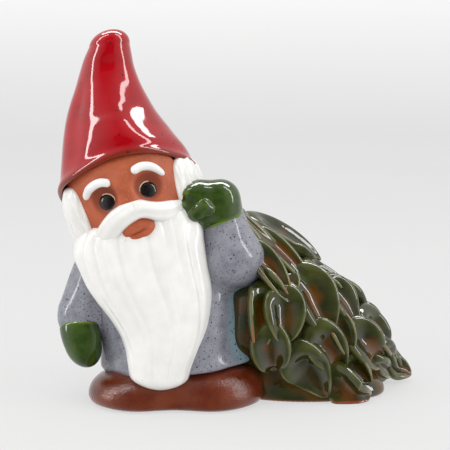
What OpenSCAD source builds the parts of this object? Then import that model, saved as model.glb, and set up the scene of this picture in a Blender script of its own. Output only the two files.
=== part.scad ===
// A tomte gnome figurine in red earthenware, dragging a spruce over the shoulder.
// Frame: +X to the gnome's left hand, +Y to the back, +Z up, origin on the standing
// plane under the middle of the coat. All sizes in millimetres.
// Every clay part is its own solid. Hollow parts are slip-cast shells that drain into
// one another; solid parts are pressed or rolled clay, luted on with slip.

/* [Casting] */
// Wall of the slip-cast shells
wall = 4.5; // [3.6:0.1:5.4]
// Diameter of the openings that drain one shell into the next
vent_d = 9; // [7:0.5:11]
// Diameter of the pouring hole under the boots
pour_d = 18; // [14:1:22]
// Gap left between the two halves of the moustache
lute_gap = 0.4; // [0.3:0.1:0.6]

/* [Boots] */
// How far the side of a boot lies inside the coat's widest flank
boot_in = 2; // [0:0.5:5]
// Distance between the middles of the two boots
boot_gap = 12; // [8:1:16]
// Height from the standing plane to the coat's hem
boots_h = 11; // [9:0.5:13]
// Height of the boots' rounded rim
boots_rim = 9; // [7.5:0.5:9]

/* [Coat] */
// Diameter of the coat at its widest
coat_d = 57; // [47:1:69]
// Height of the widest place above the hem
coat_belly = 12; // [9:1:15]
// Height of the coat from its widest place to its crown
coat_rise = 46; // [40:1:52]
// Lean of the coat away from the tree
coat_lean = 12; // [6:1:15]

/* [Head] */
// Radius of the head
head_r = 22.5; // [20:0.5:27]
// How deep the head sits in the coat's collar
head_sink = 16.5; // [14:0.5:19]
// How far the head hangs forward of the coat's axis
head_forward = 5; // [3:0.5:7]
// Tilt of the face to one side
head_roll = 16; // [8:1:20]

/* [Face] */
// Distance between the two eyes
eye_gap = 16.2; // [14.5:0.1:18.5]
// Height of the eyes above the middle of the head
eye_z = 3.6; // [2.5:0.1:5]
// Radius of an eye bead
eye_r = 2.7; // [2.2:0.1:3]
// Thickness of the glaze rim round an eye
eye_rim = 0.8; // [0.6:0.1:1]
// Radius of the pressed socket round an eye
socket_r = 5; // [4.4:0.1:5.6]
// Height of the eyebrows above the middle of the head
brow_z = 12; // [11.5:0.1:13]
// Length of an eyebrow
brow_len = 12; // [9:0.5:13]
// Width of the mouth
mouth_w = 12; // [9:0.5:14]
// Depth of the mouth below the middle of the head
mouth_z = 8; // [7.5:0.5:9]

/* [Hat] */
// Thickness of the hat over the head
hat_t = 3; // [2.4:0.1:4]
// Height of the hat from the middle of the head to its tip
hat_rise = 62; // [51:1:75]
// Radius of the hat's rounded tip
hat_tip_r = 6; // [5:0.5:7]
// Lean of the hat away from the tree
hat_lean = 8; // [4:1:10]
// Lean of the hat to the back
hat_back = 6; // [2:1:9]
// How steeply the brim rises to the forehead
brim_tilt = 34; // [28:1:38]
// Height of the brim at the ears above the middle of the head
brim_z = 5.5; // [4:0.5:7]

/* [Beard] */
// Width of the beard at the cheeks
beard_w = 46; // [38:1:50]
// Radius of the beard's tip
beard_tip_r = 9; // [7.5:0.5:10.5]
// Height of the beard's tip above the standing plane
beard_tip_z = 9.5; // [8:0.5:12]
// How far the beard stands out from the coat
beard_t = 5; // [4:0.5:7]
// How far the beard stands out from the chin
chin_t = 2; // [1.5:0.1:3]
// Length of one half of the moustache
moustache_len = 22; // [19:1:25]

/* [Arms] */
// Diameter of a sleeve
sleeve_d = 20; // [17:0.5:24]
// Length of the raised sleeve
raised_len = 40; // [34:1:44]
// Length of the hanging sleeve
hanging_len = 38; // [32:1:44]
// Width of the raised mitten
fist_w = 20; // [17:0.5:24]
// Height of the raised mitten
fist_h = 16; // [14:0.5:19]
// Length of the hanging mitten
hand_len = 17; // [15:0.5:20]

/* [Spruce] */
// Length of the spruce's crown from its thick end to its tip
tree_len = 56; // [46:1:68]
// Radius of the crown at its thick end, under the branches
tree_r = 24; // [20:0.5:28.5]
// Radius of the crown at its tip, under the branches
tree_tip_r = 4; // [3.5:0.5:5]
// Turn of the spruce to the back
tree_swing = 10; // [5:1:18]
// Slope of the spruce down to its tip
tree_dip = 24; // [20:1:27]
// Diameter of the trunk where the mitten holds it
trunk_d = 12; // [10:0.5:14]
// How far a branch stands out from the crown
branch_t = 4.6; // [3.6:0.2:5.6]

/* [Hidden] */
$fn = 48;
far = 400;

// Boots: two round pucks side by side under the coat, as wide as the coat they carry.
boots_at = [4, -2];
boot_r = coat_d / 2 - boot_in;
pour_at = boots_at + [0, 13];

// Coat: a spindle leaning away from the tree, cut off at the hem.
coat_at = [3, 1, boots_h + coat_belly];
coat_crown = coat_at + coat_rise * [-sin(coat_lean), 0, cos(coat_lean)];

// Head: a ball let into the coat's collar.
head_at = coat_crown + [-4.5, -head_forward - 1, head_r - head_sink];

// Eyes sit on flats at the bottom of their sockets.
socket_depth = 1.6;

// Crown of the spruce: its thick end leans on the coat, its tip lies on the ground.
tree_thick = [39, 6, tree_r + 3];
tree_dir = [
    cos(tree_dip) * cos(tree_swing),
    cos(tree_dip) * sin(tree_swing),
    -sin(tree_dip)
];
tree_side = [-sin(tree_swing), cos(tree_swing), 0];
tree_up = cross(tree_side, tree_dir) * -1;

// Arms follow the coat's flanks, so a wider coat carries them out with it.
flank = coat_d / 2;
raised_at = coat_at + [flank - 8.5, -13, 34];
hanging_at = coat_at + [-flank - 3, -7, 15];
fist_at = raised_at + [-6, -3, raised_len / 2 - 4];
hand_at = hanging_at + [-3, -7, 1 - hanging_len / 2];

// How full the crown stays towards its tip: 1 is a straight cone.
fullness = 1.7;

// Trunk: from the fist over the shoulder into the crown.
trunk_from = fist_at + [2, 4, 0];
trunk_to = tree_thick + 6 * tree_dir + [0, 0, 4];
trunk_flare = 8;

// Branches: rings of lobes round the crown, each [share of the length, how many].
RINGS = [[0.02, 7], [0.2, 7], [0.38, 6], [0.55, 5], [0.71, 4], [0.86, 3]];
// Lobes that sweep back along the trunk: [share of the trunk, turn about it].
SWEEPS = [[0.52, -95], [0.56, -45], [0.5, 5], [0.55, 55]];

// Half width of a branch, as a share of the room it has in its ring.
leaf_share = 0.4;

function ring_start(i) = i == 0 ? 0 : ring_start(i - 1) + RINGS[i - 1][1];
branch_total = ring_start(len(RINGS));
function label(n) = n < 10 ? str("0", n) : str(n);
BRANCHES = [for (i = [0:len(RINGS) - 1]) for (k = [0:RINGS[i][1] - 1]) [i, k]];

// ---- Helpers -------------------------------------------------------------------

function unit(v) = v / norm(v);

// A round spindle about Z: a half ellipse turned on its long axis.
module spindle(r, half_l) {
    rotate_extrude() polygon(concat(
        [[0, -half_l]],
        [for (a = [-75:15:75]) [r * cos(a), half_l * sin(a)]],
        [[0, half_l]]
    ));
}

// A leaf with a domed back: pointed at both ends of X, rising to a height in Z.
module leaf(half_l, half_w, rise) {
    side_r = (pow(half_l, 2) + pow(half_w, 2)) / (2 * half_w);
    dome_r = (pow(half_l, 2) + pow(rise, 2)) / (2 * rise);
    intersection() {
        linear_extrude(4 * rise, center = true) intersection() {
            translate([0, side_r - half_w]) circle(side_r);
            translate([0, half_w - side_r]) circle(side_r);
        }
        translate([0, 0, rise - dome_r]) sphere(dome_r, $fn = 96);
    }
}

// Children placed with their X, Y and Z along three given directions.
module along(at, x, y, z) {
    multmatrix([
        [x[0], y[0], z[0], at[0]],
        [x[1], y[1], z[1], at[1]],
        [x[2], y[2], z[2], at[2]],
        [0, 0, 0, 1]
    ]) children();
}

// The part of the children above a level.
module above(z = 0) {
    intersection() {
        children();
        translate([-far / 2, -far / 2, z]) cube(far);
    }
}

// A round bar between two points.
module bar(from, to, r1, r2) {
    d = unit(to - from);
    x = unit(cross([0, 1, 0], d));
    along(from, x, cross(d, x), d) cylinder(r1 = r1, r2 = r2, h = norm(to - from), $fn = 96);
}

// ---- Blanks: the full shapes that neighbours are cut to fit --------------------

// Both boots, each drawn by one child about its own middle.
module both_boots() {
    for (side = [-1, 1]) translate([boots_at[0] + side * boot_gap / 2, boots_at[1], 0]) children();
}

module boots_blank() {
    both_boots() rotate_extrude() {
        square([boot_r - boots_rim / 2, boots_h]);
        translate([boot_r - boots_rim / 2, boots_rim / 2 + 1]) circle(boots_rim / 2);
    }
}

module coat_blank(off = 0) {
    translate(coat_at) rotate([0, -coat_lean, 0]) spindle(coat_d / 2 + off, coat_rise + off);
}

module head_blank(off = 0) {
    translate(head_at) sphere(head_r + off, $fn = 120);
}

// Children in the head's axes: X along the eyes, Z to the crown, Y to the back.
module on_head() {
    translate(head_at) rotate([0, -head_roll, 0]) children();
}

// The side of the brim's plane that the face is on.
module below_brim() {
    on_head() translate([0, 0, brim_z]) rotate([-brim_tilt, 0, 0])
        translate([-far / 2, -far / 2, -far]) cube(far);
}

module raised_blank() {
    translate(raised_at) rotate([8, -13, 0]) spindle(sleeve_d / 2, raised_len / 2);
}

module hanging_blank() {
    translate(hanging_at) rotate([-12, 16, 0]) spindle(sleeve_d / 2, hanging_len / 2);
}

module fist_blank() {
    translate(fist_at) rotate([0, 70, 0]) spindle(fist_h / 2, fist_w / 2);
}

// The beard's front view: a wide top that narrows to a round tip.
module beard_outline() {
    tip = [coat_at[0] - 4, beard_tip_z + beard_tip_r];
    bulge = [coat_at[0] - 2, coat_at[2] + 17];
    top = [head_at[0], head_at[2] - 8];
    hull() {
        translate(tip) circle(beard_tip_r, $fn = 32);
        translate(bulge) circle(beard_w / 3, $fn = 32);
        for (side = [-1, 1])
            translate(top + [side * (beard_w / 2 - 8), side * 4]) circle(8, $fn = 32);
    }
}

module beard_blank() {
    intersection() {
        union() {
            translate([coat_at[0] - 5.5, coat_at[1] - beard_t, coat_at[2] + 6])
                rotate([0, -coat_lean - 3, 0]) spindle(coat_d / 2 - 1, coat_rise + 12);
            head_blank(chin_t);
        }
        rotate([90, 0, 0]) linear_extrude(far) beard_outline();
    }
}

// Radius of the crown at a share of its length, its slope there and its axis.
function crown_r(s) = tree_tip_r + (tree_r - tree_tip_r) * (1 - pow(s, fullness));
function crown_slope(s) =
    atan(fullness * (tree_r - tree_tip_r) * pow(s, fullness - 1) / tree_len);
function crown_at(s) = tree_thick + s * tree_len * tree_dir;

// The crown's half section, with its radii changed by an offset, up to a share of its length.
module crown_half(off, end) {
    thick = tree_r + off;
    polygon(concat(
        [for (a = [0:15:75]) [thick * sin(a), -0.45 * thick * cos(a)]],
        [for (s = [0:0.1:end]) [crown_r(s) + off, s * tree_len]],
        [[0, end * tree_len + crown_r(end) + off]]
    ));
}

module crown_blank(off = 0, end = 1) {
    along(tree_thick, tree_up, cross(tree_dir, tree_up), tree_dir)
        rotate_extrude() crown_half(off, end);
}

module trunk_blank() {
    bar(trunk_from, trunk_to, trunk_d / 2, trunk_d / 2 + trunk_flare);
}

// ---- Body ----------------------------------------------------------------------

module boots() {
    color("sienna") difference() {
        boots_blank();
        both_boots() translate([0, 0, wall])
            cylinder(r = boot_r - boots_rim / 2 - wall, h = boots_h);
        translate([pour_at[0], pour_at[1], -1]) cylinder(d = pour_d, h = wall + 2);
    }
}

module coat() {
    color("slategray") difference() {
        above(boots_h) coat_blank();
        coat_blank(-wall);
        head_blank();
        drains();
    }
}

module sleeve_raised() {
    color("slategray") difference() {
        raised_blank();
        coat_blank();
        head_blank(hat_t);
    }
}

module sleeve_hanging() {
    color("slategray") difference() {
        hanging_blank();
        coat_blank();
        head_blank();
    }
}

module mitten_raised() {
    color("darkgreen") difference() {
        fist_blank();
        raised_blank();
        coat_blank();
        head_blank();
        trunk_blank();
    }
}

module thumb_raised() {
    color("darkgreen") difference() {
        translate(fist_at + [-fist_w / 2 + 3.5, -fist_h / 2 + 1, -4]) rotate([0, 20, 0])
            spindle(3.2, 5);
        fist_blank();
        raised_blank();
        head_blank();
        beard_blank();
    }
}

module mitten_hanging() {
    color("darkgreen") difference() {
        translate(hand_at) rotate([0, -12, 0]) spindle(7.5, hand_len / 2);
        hanging_blank();
        coat_blank();
    }
}

// The openings that let slip drain from shell to shell.
module drains() {
    bar(coat_crown - [0, 0, wall + head_sink], head_at, vent_d / 2, vent_d / 2);
    bar(head_at, head_at + [-3, 2, head_r + wall], vent_d / 2, vent_d / 2);
    bar(coat_at + [0, 0, 6], tree_thick, vent_d / 2, vent_d / 2);
}

// ---- Head ----------------------------------------------------------------------

// Children on the head's surface at an eye, with Z outwards.
module eye_place(side) {
    x = side * eye_gap / 2;
    out = unit([x, -sqrt(pow(head_r, 2) - pow(x, 2) - pow(eye_z, 2)), eye_z]);
    across = unit(cross([0, 0, 1], out));
    on_head() along(head_r * out, across, cross(out, across), out) children();
}

module head() {
    color("peru") difference() {
        head_blank();
        head_blank(-wall);
        drains();
        for (side = [-1, 1]) eye_place(side)
            translate([0, 0, socket_r - socket_depth]) sphere(socket_r);
    }
}

module eye(side) {
    color("black") eye_place(side) intersection() {
        translate([0, 0, -socket_depth]) cylinder(r = eye_r, h = far);
        translate([0, 0, -socket_depth - 0.5]) sphere(eye_r);
        translate([0, 0, socket_r - socket_depth]) sphere(socket_r);
    }
}

module eye_rim(side) {
    color("ivory") eye_place(side) intersection() {
        difference() {
            translate([0, 0, -socket_depth]) cylinder(r = eye_r + eye_rim, h = 1.6);
            translate([0, 0, -socket_depth - 1]) cylinder(r = eye_r, h = 4);
        }
        translate([0, 0, socket_r - socket_depth]) sphere(socket_r);
    }
}

// A roll of clay that follows the head's round over an eye.
module eyebrow(side) {
    tilt = asin(brow_z / head_r);
    turn = atan(eye_gap / 2 / head_r) + 4;
    sweep = 360 * brow_len / (2 * PI * head_r);
    color("white") difference() {
        on_head() rotate([-tilt, 0, 0]) rotate([0, side * 3, -90 + side * turn - sweep / 2])
            rotate_extrude(angle = sweep) translate([head_r + 0.2, 0]) circle(1.7);
        head_blank();
        hat_blank();
    }
}

module nose_blank() {
    on_head() translate([0, -head_r + 1.2, 2.4]) sphere(2.8);
}

module nose() {
    color("peru") difference() {
        nose_blank();
        head_blank();
    }
}

module moustache_blank(side) {
    on_head() translate([0, -head_r + 1.8, -0.8]) rotate([0, 0, side * 22])
        rotate([0, side * 114, 0]) translate([0, 0, moustache_len / 2 - 5])
            spindle(4.4, moustache_len / 2);
}

// Half a moustache: a drooping roll, parted from the other half by a narrow gap.
module moustache(side) {
    color("white") difference() {
        moustache_blank(side);
        head_blank();
        lips_blank();
        nose_blank();
        on_head() translate([side > 0 ? lute_gap / 2 - far : -lute_gap / 2, -far / 2, -far / 2])
            cube(far);
    }
}

module lips_blank() {
    on_head() translate([0, -head_r + 2.2, -mouth_z]) rotate([0, 90, 0])
        spindle(3.2, mouth_w / 2);
}

module lips() {
    color("peru") difference() {
        lips_blank();
        head_blank();
    }
}

module hair_blank(side) {
    on_head() translate([side * (head_r - 2), 2, -4]) rotate([0, side * -8, 0]) spindle(6, 14);
}

module hair(side) {
    color("white") difference() {
        intersection() {
            hair_blank(side);
            below_brim();
        }
        head_blank();
        coat_blank();
        beard_blank();
        raised_blank();
        hanging_blank();
        fist_blank();
    }
}

module beard() {
    color("white") difference() {
        beard_blank();
        head_blank();
        coat_blank();
        boots_blank();
        fist_blank();
        raised_blank();
        hanging_blank();
        lips_blank();
        for (side = [-1, 1]) moustache_blank(side);
    }
}

// Radius of the hat at a share of the way up: full over the head, round at the tip.
function hat_r(u) = hat_tip_r + (head_r + hat_t - hat_tip_r) * pow(cos(90 * u), 1.6);

module hat_half() {
    full = head_r + hat_t;
    top = hat_rise - hat_tip_r;
    polygon(concat(
        [[0, -full]],
        [for (a = [165:-15:90]) full * [sin(a), cos(a)]],
        [for (u = [0.1:0.1:0.9]) [hat_r(u), u * top]],
        [for (a = [90:-15:0]) [hat_tip_r * sin(a), top + hat_tip_r * cos(a)]]
    ));
}

module hat_blank() {
    difference() {
        translate(head_at) rotate([-hat_back, -hat_lean, 0]) rotate_extrude() hat_half();
        below_brim();
    }
}

module hat() {
    color("firebrick") difference() {
        hat_blank();
        head_blank();
        coat_blank();
        hat_hollow();
    }
}

// The hollow of the hat: a cone that starts inside the head.
module hat_hollow() {
    translate(head_at) rotate([-hat_back, -hat_lean, 0])
        cylinder(r1 = head_r - wall, r2 = vent_d / 4, h = hat_rise - hat_tip_r - 2 * wall);
}

// ---- Spruce --------------------------------------------------------------------

module spruce_crown() {
    color("olivedrab") difference() {
        above() crown_blank();
        above(wall) crown_blank(-wall, 0.8);
        coat_blank();
        boots_blank();
        raised_blank();
        drains();
    }
}

module spruce_trunk() {
    color("saddlebrown") difference() {
        trunk_blank();
        crown_blank();
        coat_blank();
        raised_blank();
        head_blank(hat_t);
        hair_blank(1);
    }
}

// Widest turn, each way from the top, at which a branch still clears the ground.
function crown_reach(s) =
    let (c = crown_at(s)[2] / (crown_r(s) + branch_t / 2) / cos(tree_dip))
    c >= 1 ? 150 : 90 + asin(max(0, c)) - 12;

// Turn between the branches of a ring, and the turn of one branch. Rings are staggered.
function ring_step(i) = 2 * crown_reach(RINGS[i][0]) / RINGS[i][1];
function branch_turn(i, k) =
    ring_step(i) * (k - (RINGS[i][1] - 1) / 2 + (i % 2 == 0 ? 0.25 : -0.25));

// A whole leaf on the crown, pointing to the spruce's tip.
module branch_blank(i, k) {
    s = RINGS[i][0];
    next = min(i + 1, len(RINGS) - 1);
    pitch = (RINGS[next][0] - RINGS[next - 1][0]) * tree_len / cos(crown_slope(s));
    turn = branch_turn(i, k);
    out = cos(turn) * tree_up + sin(turn) * tree_side;
    normal = cos(crown_slope(s)) * out + sin(crown_slope(s)) * tree_dir;
    lie = cos(crown_slope(s)) * tree_dir - sin(crown_slope(s)) * out;
    width = PI * crown_r(s) * ring_step(i) / 180;
    along(crown_at(s) + crown_r(s) * out, lie, cross(normal, lie), normal)
        leaf(0.9 * pitch, leaf_share * width, branch_t);
}

// One branch: a leaf tucked under the tips of the ring before it.
module branch(i, k) {
    color("olivedrab") difference() {
        above() branch_blank(i, k);
        crown_blank();
        coat_blank();
        if (i < 2) union() {
            boots_blank();
            raised_blank();
            trunk_blank();
        }
        if (i > 0) for (m = [0:RINGS[i - 1][1] - 1])
            if (abs(branch_turn(i, k) - branch_turn(i - 1, m))
                < leaf_share * (ring_step(i) + ring_step(i - 1)))
                branch_blank(i - 1, m);
    }
}

// A long lobe that lies on the trunk and sweeps back over the crown.
module sweep(n) {
    d = unit(trunk_to - trunk_from);
    side = unit(cross([0, 0, 1], d));
    out = cos(SWEEPS[n][1]) * cross(d, side) + sin(SWEEPS[n][1]) * side;
    at = trunk_from + SWEEPS[n][0] * (trunk_to - trunk_from);
    r = trunk_d / 2 + SWEEPS[n][0] * trunk_flare;
    color("olivedrab") difference() {
        along(at + r * out, d, cross(out, d), out) leaf(15, 0.36 * r, branch_t);
        trunk_blank();
        crown_blank(branch_t + 0.6);
        for (k = [0:RINGS[0][1] - 1]) branch_blank(0, k);
        coat_blank();
        raised_blank();
        fist_blank();
        head_blank(hat_t + 1);
    }
}

// ---- Nodes ---------------------------------------------------------------------

boots();
coat();
sleeve_raised();
sleeve_hanging();
mitten_raised();
mitten_hanging();
thumb_raised();
head();
hat();
hair(1);  // hair_left
hair(-1);  // hair_right
beard();
moustache(1);  // moustache_left
moustache(-1);  // moustache_right
lips();
nose();
eyebrow(1);  // eyebrow_left
eyebrow(-1);  // eyebrow_right
eye(1);  // eye_left
eye(-1);  // eye_right
eye_rim(1);  // eye_rim_left
eye_rim(-1);  // eye_rim_right
spruce_crown();
spruce_trunk();
for (n = [0:len(SWEEPS) - 1])
    sweep(n);
for (n = [0:branch_total - 1])
    branch(BRANCHES[n][0], BRANCHES[n][1]);
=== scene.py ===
# %% [markdown]
# # A glazed earthenware tomte, worked out piece by piece
# The figurine is hollow red clay: a gnome with a tall hat and a long beard who drags a felled
# spruce over one shoulder. A potter casts the big shells, rolls and pinches the small parts, lutes
# them together with slip and brushes a different glaze on each. This lesson does the same in
# numpy: every part is a formula, and every formula becomes one closed mesh.
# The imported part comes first, because it says where everything stands and how big it is.

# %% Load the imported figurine
import bpy
import numpy as np
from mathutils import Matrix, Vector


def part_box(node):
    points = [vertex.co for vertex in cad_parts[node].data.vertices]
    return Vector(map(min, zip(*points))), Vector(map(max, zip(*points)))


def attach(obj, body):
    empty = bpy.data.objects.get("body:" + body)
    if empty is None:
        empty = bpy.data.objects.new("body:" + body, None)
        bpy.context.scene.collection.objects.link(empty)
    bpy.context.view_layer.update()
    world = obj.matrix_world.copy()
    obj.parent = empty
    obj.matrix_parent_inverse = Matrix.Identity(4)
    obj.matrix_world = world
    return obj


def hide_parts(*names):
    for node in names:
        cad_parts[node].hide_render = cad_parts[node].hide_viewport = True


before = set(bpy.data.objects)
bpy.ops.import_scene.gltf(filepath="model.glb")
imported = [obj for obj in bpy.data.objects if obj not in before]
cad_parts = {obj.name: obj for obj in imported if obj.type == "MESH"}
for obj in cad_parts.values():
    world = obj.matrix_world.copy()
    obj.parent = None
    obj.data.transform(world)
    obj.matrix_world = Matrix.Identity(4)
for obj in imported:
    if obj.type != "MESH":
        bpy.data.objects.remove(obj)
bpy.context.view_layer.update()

print("packed nodes:", len(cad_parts))

# %% [markdown]
# ## Working in millimetres
# Clay is measured in millimetres, and Blender counts in metres, so all shapes are worked out in
# millimetres and shrunk once, when a mesh is made. Two small tools are used everywhere: one gives
# a direction the length one, the other carries a few rows of numbers along a smooth curve.

# %% Units, directions and smooth curves
MM = 0.001
TURN = 2 * np.pi


def unit(v):
    """A direction: each vector divided by its own length."""
    v = np.asarray(v, float)
    return v / np.linalg.norm(v, axis=-1, keepdims=True)


def ease(x):
    """A soft step: 0 up to x = 0, 1 from x = 1, and 3x squared minus 2x cubed between."""
    x = np.clip(x, 0, 1)
    return x * x * (3 - 2 * x)


def glide(rows, share):
    """Rows of numbers carried smoothly: the cubic through each four neighbouring rows whose slope
    at a row is half the step between the rows on each side of it. share runs from 0 to 1."""
    rows = np.asarray(rows, float)
    last = len(rows) - 1
    p = np.vstack([2 * rows[0] - rows[1], rows, 2 * rows[-1] - rows[-2]])
    x = np.clip(share, 0, 1) * last
    i = np.minimum(x.astype(int), last - 1)
    f = (x - i)[..., None]
    a, b, c, d = p[i], p[i + 1], p[i + 2], p[i + 3]
    return b + 0.5 * f * (c - a + f * (2 * a - 5 * b + 4 * c - d + f * (3 * (b - c) + d - a)))


def middle_and_size(node):
    """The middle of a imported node's box and its three sides, in millimetres."""
    low, high = (np.array(corner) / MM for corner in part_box(node))
    return (low + high) / 2, high - low


head_at, head_size = middle_and_size("head")
HEAD_R = head_size[0] / 2
print("head:", head_at.round(1), "radius", round(HEAD_R, 1))

# %% [markdown]
# ## Soft shapes as distances
# Soft clay has no sharp joins: where two lumps meet, the clay is smeared into a small round
# hollow. A shape that is known by its distance from every point can be smeared by arithmetic: the
# smaller of two distances joins two lumps, and rounding that choice off makes the fillet. So the
# round parts are written as distance fields. Subdivided boxes would need modelling by hand, and
# metaballs give no say over where a fillet starts.

# %% Balls, eggs and rods


def ball(at, r):
    """Distance to a ball: how far a point is from the middle, less the radius."""
    return lambda p: np.linalg.norm(p - at, axis=-1) - r


def egg(at, radii, axes=np.eye(3)):
    """About the distance to an egg: with k the point's size once each axis is divided by its
    radius, k times (k - 1) over the length of k's own slope. The rows of axes are its axes."""
    at, radii = np.asarray(at, float), np.asarray(radii, float)

    def field(p):
        q = (p - at) @ np.asarray(axes, float).T
        k = np.linalg.norm(q / radii, axis=-1)
        return k * (k - 1) / np.maximum(np.linalg.norm(q / radii**2, axis=-1), 1e-6)
    return field


def rod(start, end, r1, r2):
    """Distance to a tapered rod: to the nearest point of its axis, less the radius there."""
    start, end = np.asarray(start, float), np.asarray(end, float)

    def field(p):
        way = end - start
        share = np.clip((p - start) @ way / (way @ way), 0, 1)
        return (np.linalg.norm(p - start - share[..., None] * way, axis=-1)
                - r1 - share * (r2 - r1))
    return field


def soft_min(a, b, k):
    """The smaller of two distances, lowered by up to k / 4 where they are nearly the same."""
    gap = np.maximum(k - np.abs(a - b), 0) / k
    return np.minimum(a, b) - gap * gap * k / 4


def meld(k, *fields):
    """Lumps smeared into one another with fillets about k wide."""
    def field(p):
        d = fields[0](p)
        for other in fields[1:]:
            d = soft_min(d, other(p), k)
        return d
    return field


def press(shape, tool, k):
    """A shape with a tool pressed into it: the larger of its distance and minus the tool's."""
    return lambda p: -soft_min(-shape(p), tool(p), k)


def lute(shape, neighbour, k, most):
    """A shape whose skin runs up a neighbour in a fillet, but never more than a little proud."""
    return lambda p: np.maximum(soft_min(shape(p), neighbour(p) + 0.2, k), shape(p) - most)


def over(shape, level, k):
    """The part of a shape above a level, with its lower edge rounded over k. The level may be a
    number or a function of the points."""
    def field(p):
        z = level(p) if callable(level) else level
        return -soft_min(-shape(p), p[..., 2] - z, k)
    return field


def tilted(roll, nod=0.0):
    """The three axes of a part that is rolled about Y and then nods about its own X, degrees."""
    r, n = np.radians([roll, nod])
    across = np.array([np.cos(r), 0, np.sin(r)])
    up = np.array([-np.sin(r), 0, np.cos(r)])
    back = np.array([0.0, 1, 0])
    return np.array([across, np.cos(n) * back - np.sin(n) * up, np.sin(n) * back + np.cos(n) * up])


# %% [markdown]
# ## From a distance to a skin
# A balloon blown up inside a hollow mould takes its shape. Here the balloon is a grid of rays by
# latitude and longitude from a point inside the part: each ray steps outwards to the last place
# that is still inside, and halving the last step finds the skin. All rays step together, so the
# work is a few whole-array sums. A voxel remesh would give any shape, but no clean grid to carry
# patterns on.

# %% Blow up a balloon, or carry an oval along a path
STEPS, HALVINGS = 40, 12


def balloon(field, at, reach, rows=100, cols=150, up=(0, 0, 1)):
    """Rings of points on a shape's skin, and its two poles: rays from a middle, by latitude and
    longitude about up, followed to the last inside step and then halved towards the skin."""
    at, up = np.asarray(at, float), unit(up)
    side = unit(np.cross(up, (0.3, 1, 0.2)))
    lat = np.linspace(-np.pi / 2, np.pi / 2, rows + 2)[1:-1, None, None]
    lon = (np.arange(cols) * TURN / cols)[None, :, None]
    ways = np.sin(lat) * up + np.cos(lat) * (np.cos(lon) * side + np.sin(lon) * np.cross(up, side))
    ways = np.concatenate([ways.reshape(-1, 3), [-up], [up]])
    steps = np.linspace(0, reach, STEPS)
    low = np.zeros(len(ways))
    for s in steps[1:]:
        low = np.where(field(at + s * ways) < 0, s, low)
    high = low + steps[1]
    for _ in range(HALVINGS):
        half = (low + high) / 2
        inside = field(at + half[:, None] * ways) < 0
        low, high = np.where(inside, half, low), np.where(inside, high, half)
    skin = at + low[:, None] * ways
    return skin[:-2].reshape(rows, cols, 3), skin[-2:]


def loft(path, across, up, wide, tall, cols=64, square=2.0):
    """An oval carried along a path: each point is the path's point plus a wide cosine across and
    a tall sine up. A square over 2 makes the oval fuller. The ends close on the path itself."""
    turn = np.arange(cols) * TURN / cols
    c, s = np.cos(turn), np.sin(turn)
    c = np.sign(c) * np.abs(c) ** (2 / square)
    s = np.sign(s) * np.abs(s) ** (2 / square)
    rings = (path[:, None] + (wide[:, None] * c)[..., None] * across[:, None]
             + (tall[:, None] * s)[..., None] * up[:, None])
    return rings, np.array([path[0], path[-1]])


def round_ends(share, length):
    """How full a roll of clay is along itself: 1 in the middle, and a quarter circle that falls
    to almost nothing over the last part of each end. length is that part's share."""
    near = np.minimum(share, 1 - share) / length
    return np.sqrt(np.clip(1 - (1 - np.clip(near, 0, 1)) ** 2, 0.0004, 1))


# %% [markdown]
# ## What a glaze feels
# Glaze runs off ridges and gathers in hollows while it is molten. So each mesh carries two painted
# numbers: "thin" for where it stands out sharply and "deep" for where it sinks. Both come from how
# the grid bends, and the materials read them. On the white glaze and the bare clay, "deep" marks
# painted shade instead: it colours them darker in hollows.

# %% Crests and hollows
LEAST_SIZE = 0.16  # square mm, under which a bend is not trusted


def crest(rings, step=2, loop=False):
    """How sharply a skin stands out at each grid point, in 1/mm, and minus in a hollow: the two
    neighbours some steps away, seen along the normal and divided by both distances."""
    count = len(rings)
    row = np.arange(count)
    ahead = (row + step) % count if loop else np.minimum(row + step, count - 1)
    back = (row - step) % count if loop else np.maximum(row - step, 0)
    pairs = [(rings[ahead], rings[back]),
             (np.roll(rings, -step, 1), np.roll(rings, step, 1))]
    normal = np.cross(pairs[1][0] - pairs[1][1], pairs[0][0] - pairs[0][1])
    normal /= np.maximum(np.linalg.norm(normal, axis=-1, keepdims=True), 1e-9)
    if (normal * (rings - rings.mean((0, 1)))).sum() < 0:
        normal = -normal
    bend = np.zeros(rings.shape[:2])
    for one, two in pairs:
        a, b = one - rings, two - rings
        size = np.linalg.norm(a, axis=-1) * np.linalg.norm(b, axis=-1)
        bend -= ((a + b) * normal).sum(-1) / np.maximum(size, LEAST_SIZE)
    return bend / 2


# %% [markdown]
# ## From a grid to a piece
# A grid of rings closes with a fan of triangles at each pole, or on itself if it is a hoop. The
# sign of its volume says which way its faces point. Each piece stands for the imported node of the
# same name, rides on the one rigid body, and takes the finish of the slot it is given.

# %% Make a closed piece
pieces = {}


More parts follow.
